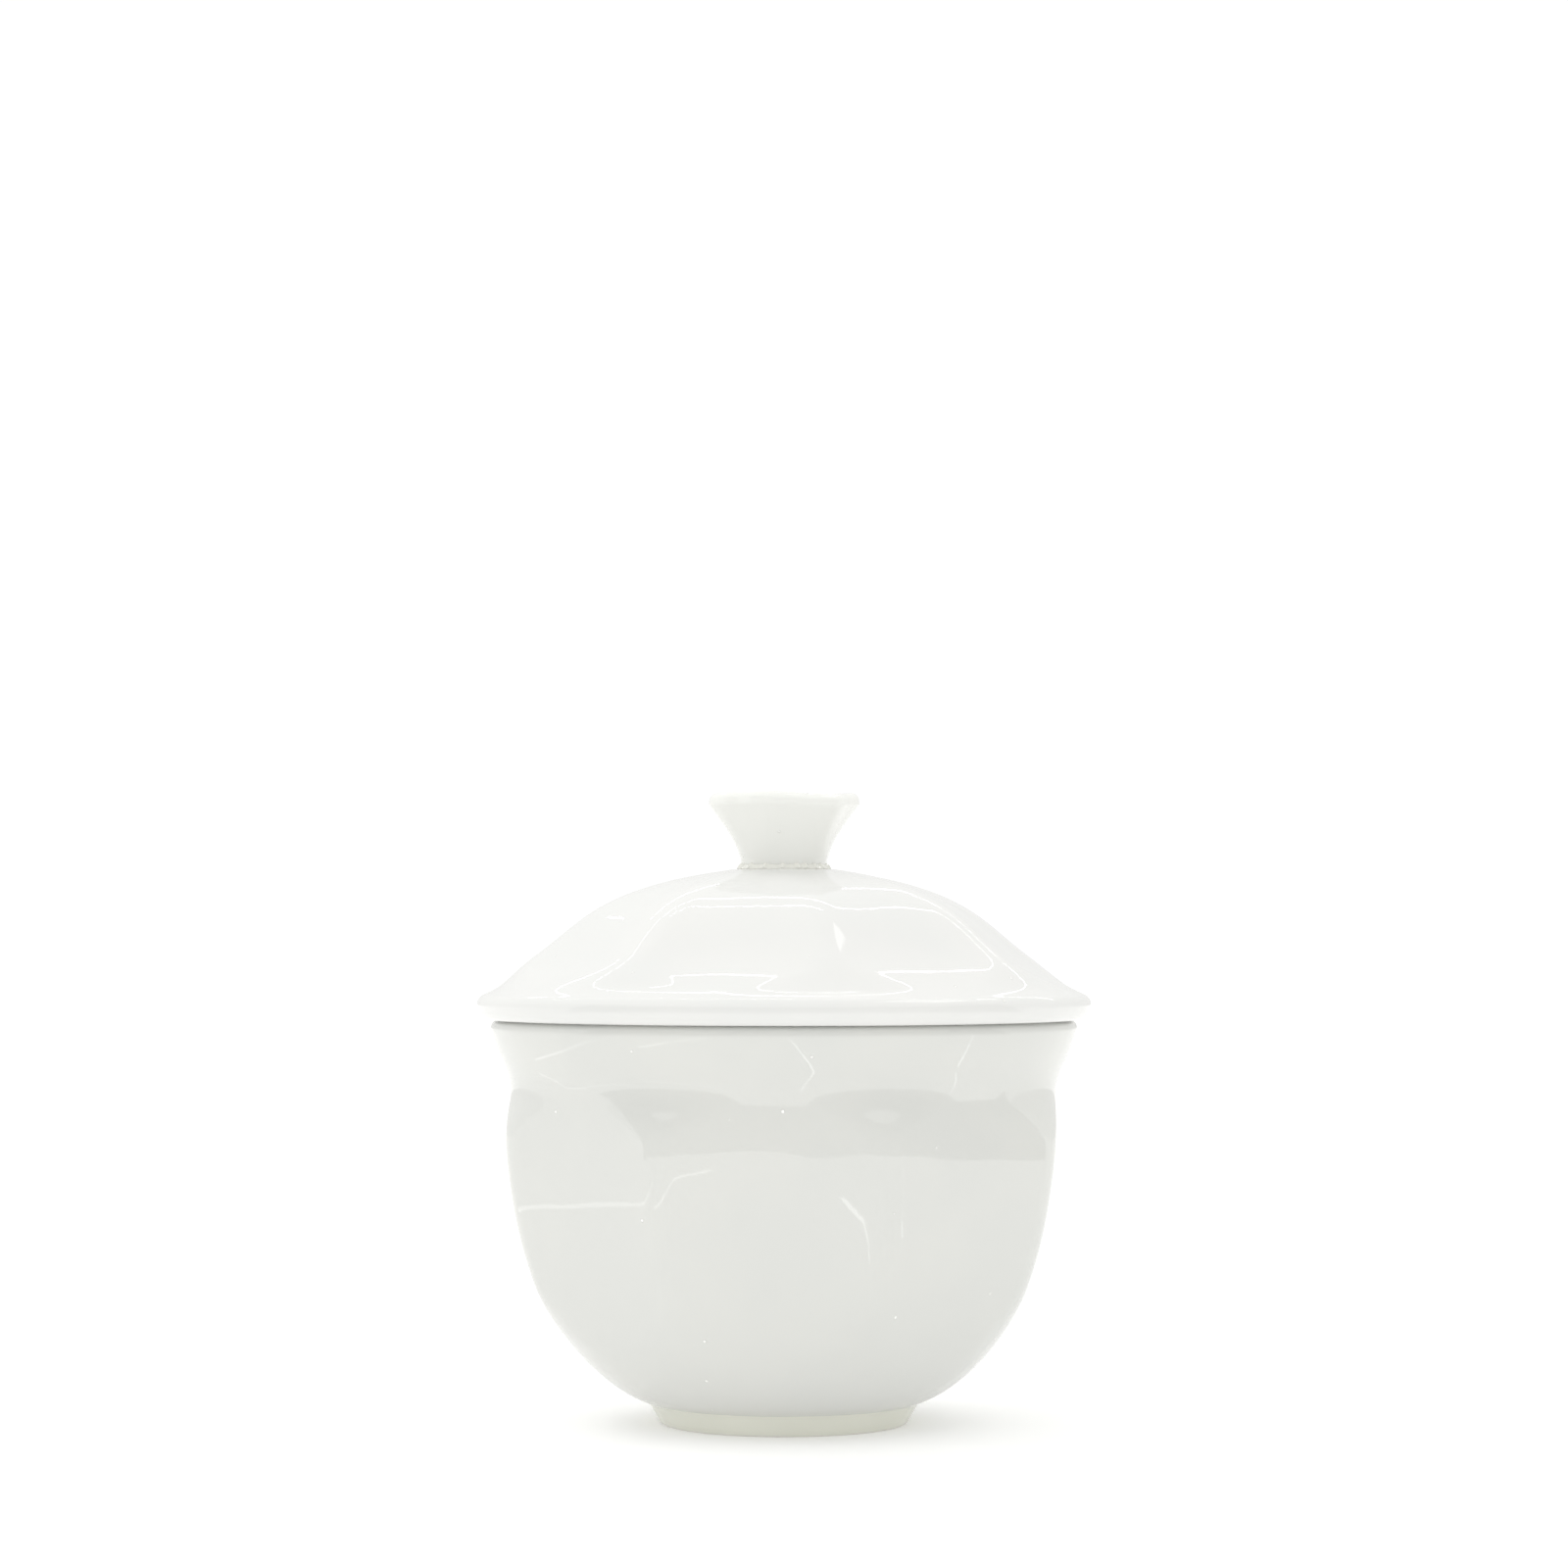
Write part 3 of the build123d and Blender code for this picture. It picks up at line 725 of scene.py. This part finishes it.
# One wide light, given in the same way.
WINDOW = ("window", (0.5, -0.1, 1.02), (0.5, 0.4, 1.02), 0.34, 1.5)
TABLE_GLOW = 0.2  # the cup stands on a light table
SKY_LOW = 0.9  # brightness at the horizon
SKY_HIGH = 1.22  # brightness overhead
SKY_SIDES = (1.03, 0.95)  # times this on the left and on the right
SEEN_WHITE = 1.05  # brightness of the plain white that the camera sees
KEY_ENERGY = 0.22
KEY_ANGLE = 24.0  # how wide the soft sun looks, in degrees
KEY_DIRECTION = (0.55, -0.4, -0.85)
KEY_COLOUR = (1.0, 0.995, 0.98)
CAMERA_AZIMUTH = 2.3  # degrees round from the middle of the front panel
CAMERA_DISTANCE = 0.715
CAMERA_HEIGHT = 0.0877
CAMERA_PITCH = 2.115  # degrees up
CAMERA_LENS = 91.4  # millimetres on a sensor of 36
ROOM_PROFILE = ((0.3, 0.003), (1.5, 0.003), (1.5, 0.9))  # distance from the cup and height
ROOM_SPAN = (-80.0, 95.0)  # degrees round from the front, to the left and to the right
ROOM_STEPS = 48
ROOM_GREY = ((0.10, 0.10, 0.09), (0.16, 0.16, 0.15))
FLOOR_HALF = 6.0
FLOOR_WHITE = ((0.86, 0.86, 0.86), (0.88, 0.88, 0.88))
LIGHT_WHITE = (1, 1, 0.985, 1)


def make_floor():
    """A wide, plain, pale floor."""
    corners = [(x * FLOOR_HALF, y * FLOOR_HALF, 0) for x, y in ((-1, -1), (1, -1), (1, 1), (-1, 1))]
    mesh = bpy.data.meshes.new("floor")
    mesh.from_pydata(corners, [], [(0, 1, 2, 3)])
    floor = bpy.data.objects.new("floor", mesh)
    bpy.context.scene.collection.objects.link(floor)
    look = Shading("floor_paper")
    colour = look.mixed(look.noise(0.3, 2.0), *FLOOR_WHITE)
    roughness = look.spread(look.noise(2 * MM), 0.3, 0.7, 0.85, 0.95)
    floor.data.materials.append(look.finish(colour, roughness, look.bump(look.noise(0.4 * MM), 0.01 * MM)))
    look.shader.inputs["Specular IOR Level"].default_value = 0.1
    look.shader.inputs["Emission Color"].default_value = LIGHT_WHITE
    look.shader.inputs["Emission Strength"].default_value = TABLE_GLOW


def make_sky():
    """A white surround, brighter overhead and to the left. The camera itself sees plain white."""
    look = Shading("surround", bpy.data.worlds.new("surround"))
    bpy.context.scene.world = look.owner
    split = look.add("ShaderNodeSeparateXYZ", {"Vector": look.direction})
    overhead = look.spread(split.outputs[2], 0.0, 0.95, SKY_LOW, SKY_HIGH)
    sides = look.spread(split.outputs[0], -1.0, 1.0, *SKY_SIDES)
    look.links.new(look.times(overhead, sides), look.shader.inputs["Strength"])
    look.shader.inputs["Color"].default_value = LIGHT_WHITE
    plain = look.add("ShaderNodeBackground")
    plain.inputs["Color"].default_value = (1, 1, 1, 1)
    plain.inputs["Strength"].default_value = SEEN_WHITE
    ray = look.add("ShaderNodeLightPath")
    mix = look.add("ShaderNodeMixShader", {"Fac": ray.outputs["Is Camera Ray"]})
    look.links.new(look.shader.outputs[0], mix.inputs[1])
    look.links.new(plain.outputs[0], mix.inputs[2])
    look.links.new(mix.outputs[0], look.nodes["World Output"].inputs["Surface"])


def make_room():
    """The dim room in front of the white table, which only the glaze mirrors."""
    steps = ROOM_STEPS
    angles = np.radians(np.linspace(*ROOM_SPAN, steps))
    rows = [
        (distance * math.sin(angle), -distance * math.cos(angle), height)
        for distance, height in ROOM_PROFILE
        for angle in angles
    ]
    faces = [
        (row * steps + i, row * steps + i + 1, (row + 1) * steps + i + 1, (row + 1) * steps + i)
        for row in range(len(ROOM_PROFILE) - 1)
        for i in range(steps - 1)
    ]
    mesh = bpy.data.meshes.new("room")
    mesh.from_pydata(rows, [], faces)
    room = bpy.data.objects.new("room", mesh)
    bpy.context.scene.collection.objects.link(room)
    look = Shading("room_cloth")
    colour = look.mixed(look.noise(0.2, 2.0), *ROOM_GREY)
    weave = look.noise(1.5 * MM)
    roughness = look.spread(weave, 0.3, 0.7, 0.8, 0.9)
    mesh.materials.append(look.finish(colour, roughness, look.bump(weave, 0.1 * MM)))
    for kind in ("camera", "diffuse", "shadow", "transmission"):
        setattr(room, f"visible_{kind}", False)


def make_key():
    """A soft key light from the upper left, behind the cup. Its own image stays out of the glaze."""
    light = bpy.data.lights.new("key", "SUN")
    light.energy = KEY_ENERGY
    light.angle = math.radians(KEY_ANGLE)
    light.color = KEY_COLOUR
    lamp = bpy.data.objects.new("key", light)
    lamp.rotation_euler = Vector(KEY_DIRECTION).to_track_quat("-Z", "Y").to_euler()
    lamp.visible_glossy = False
    bpy.context.scene.collection.objects.link(lamp)


def strip(name, start, end, width, radiance):
    """A straight light facing the cup. Only the glaze shows it, and a thin one as a fine bright line."""
    start, end = Vector(start), Vector(end)
    along = (end - start).normalized()
    middle = (start + end) / 2
    away = middle - CUP_MIDDLE
    facing = (away - along * away.dot(along)).normalized()
    light = bpy.data.lights.new(name, "AREA")
    light.shape = "RECTANGLE"
    light.size = (end - start).length
    light.size_y = width
    light.energy = radiance * math.pi * light.size * width
    lamp = bpy.data.objects.new(name, light)
    lamp.matrix_world = Matrix((along, facing.cross(along), facing)).transposed().to_4x4()
    lamp.location = middle
    lamp.visible_diffuse = False
    lamp.visible_camera = False
    bpy.context.scene.collection.objects.link(lamp)


def make_camera():
    """The photograph's view: nearly level, a little above the rim, with the cup low in the frame."""
    azimuth = math.radians(CAMERA_AZIMUTH)
    pitch = math.radians(CAMERA_PITCH)
    data = bpy.data.cameras.new("camera")
    data.lens = CAMERA_LENS
    data.sensor_width = 36.0
    data.clip_start = 0.01
    camera = bpy.data.objects.new("camera", data)
    camera.location = (
        CAMERA_DISTANCE * math.sin(azimuth), -CAMERA_DISTANCE * math.cos(azimuth), CAMERA_HEIGHT
    )
    camera.rotation_euler = (math.pi / 2 + pitch, 0, azimuth)
    bpy.context.scene.collection.objects.link(camera)
    bpy.context.scene.camera = camera


make_floor()
make_sky()
make_room()
make_key()
for placed in (*STRIPS, WINDOW):
    strip(*placed)
make_camera()
bpy.context.scene.view_settings.view_transform = "Standard"
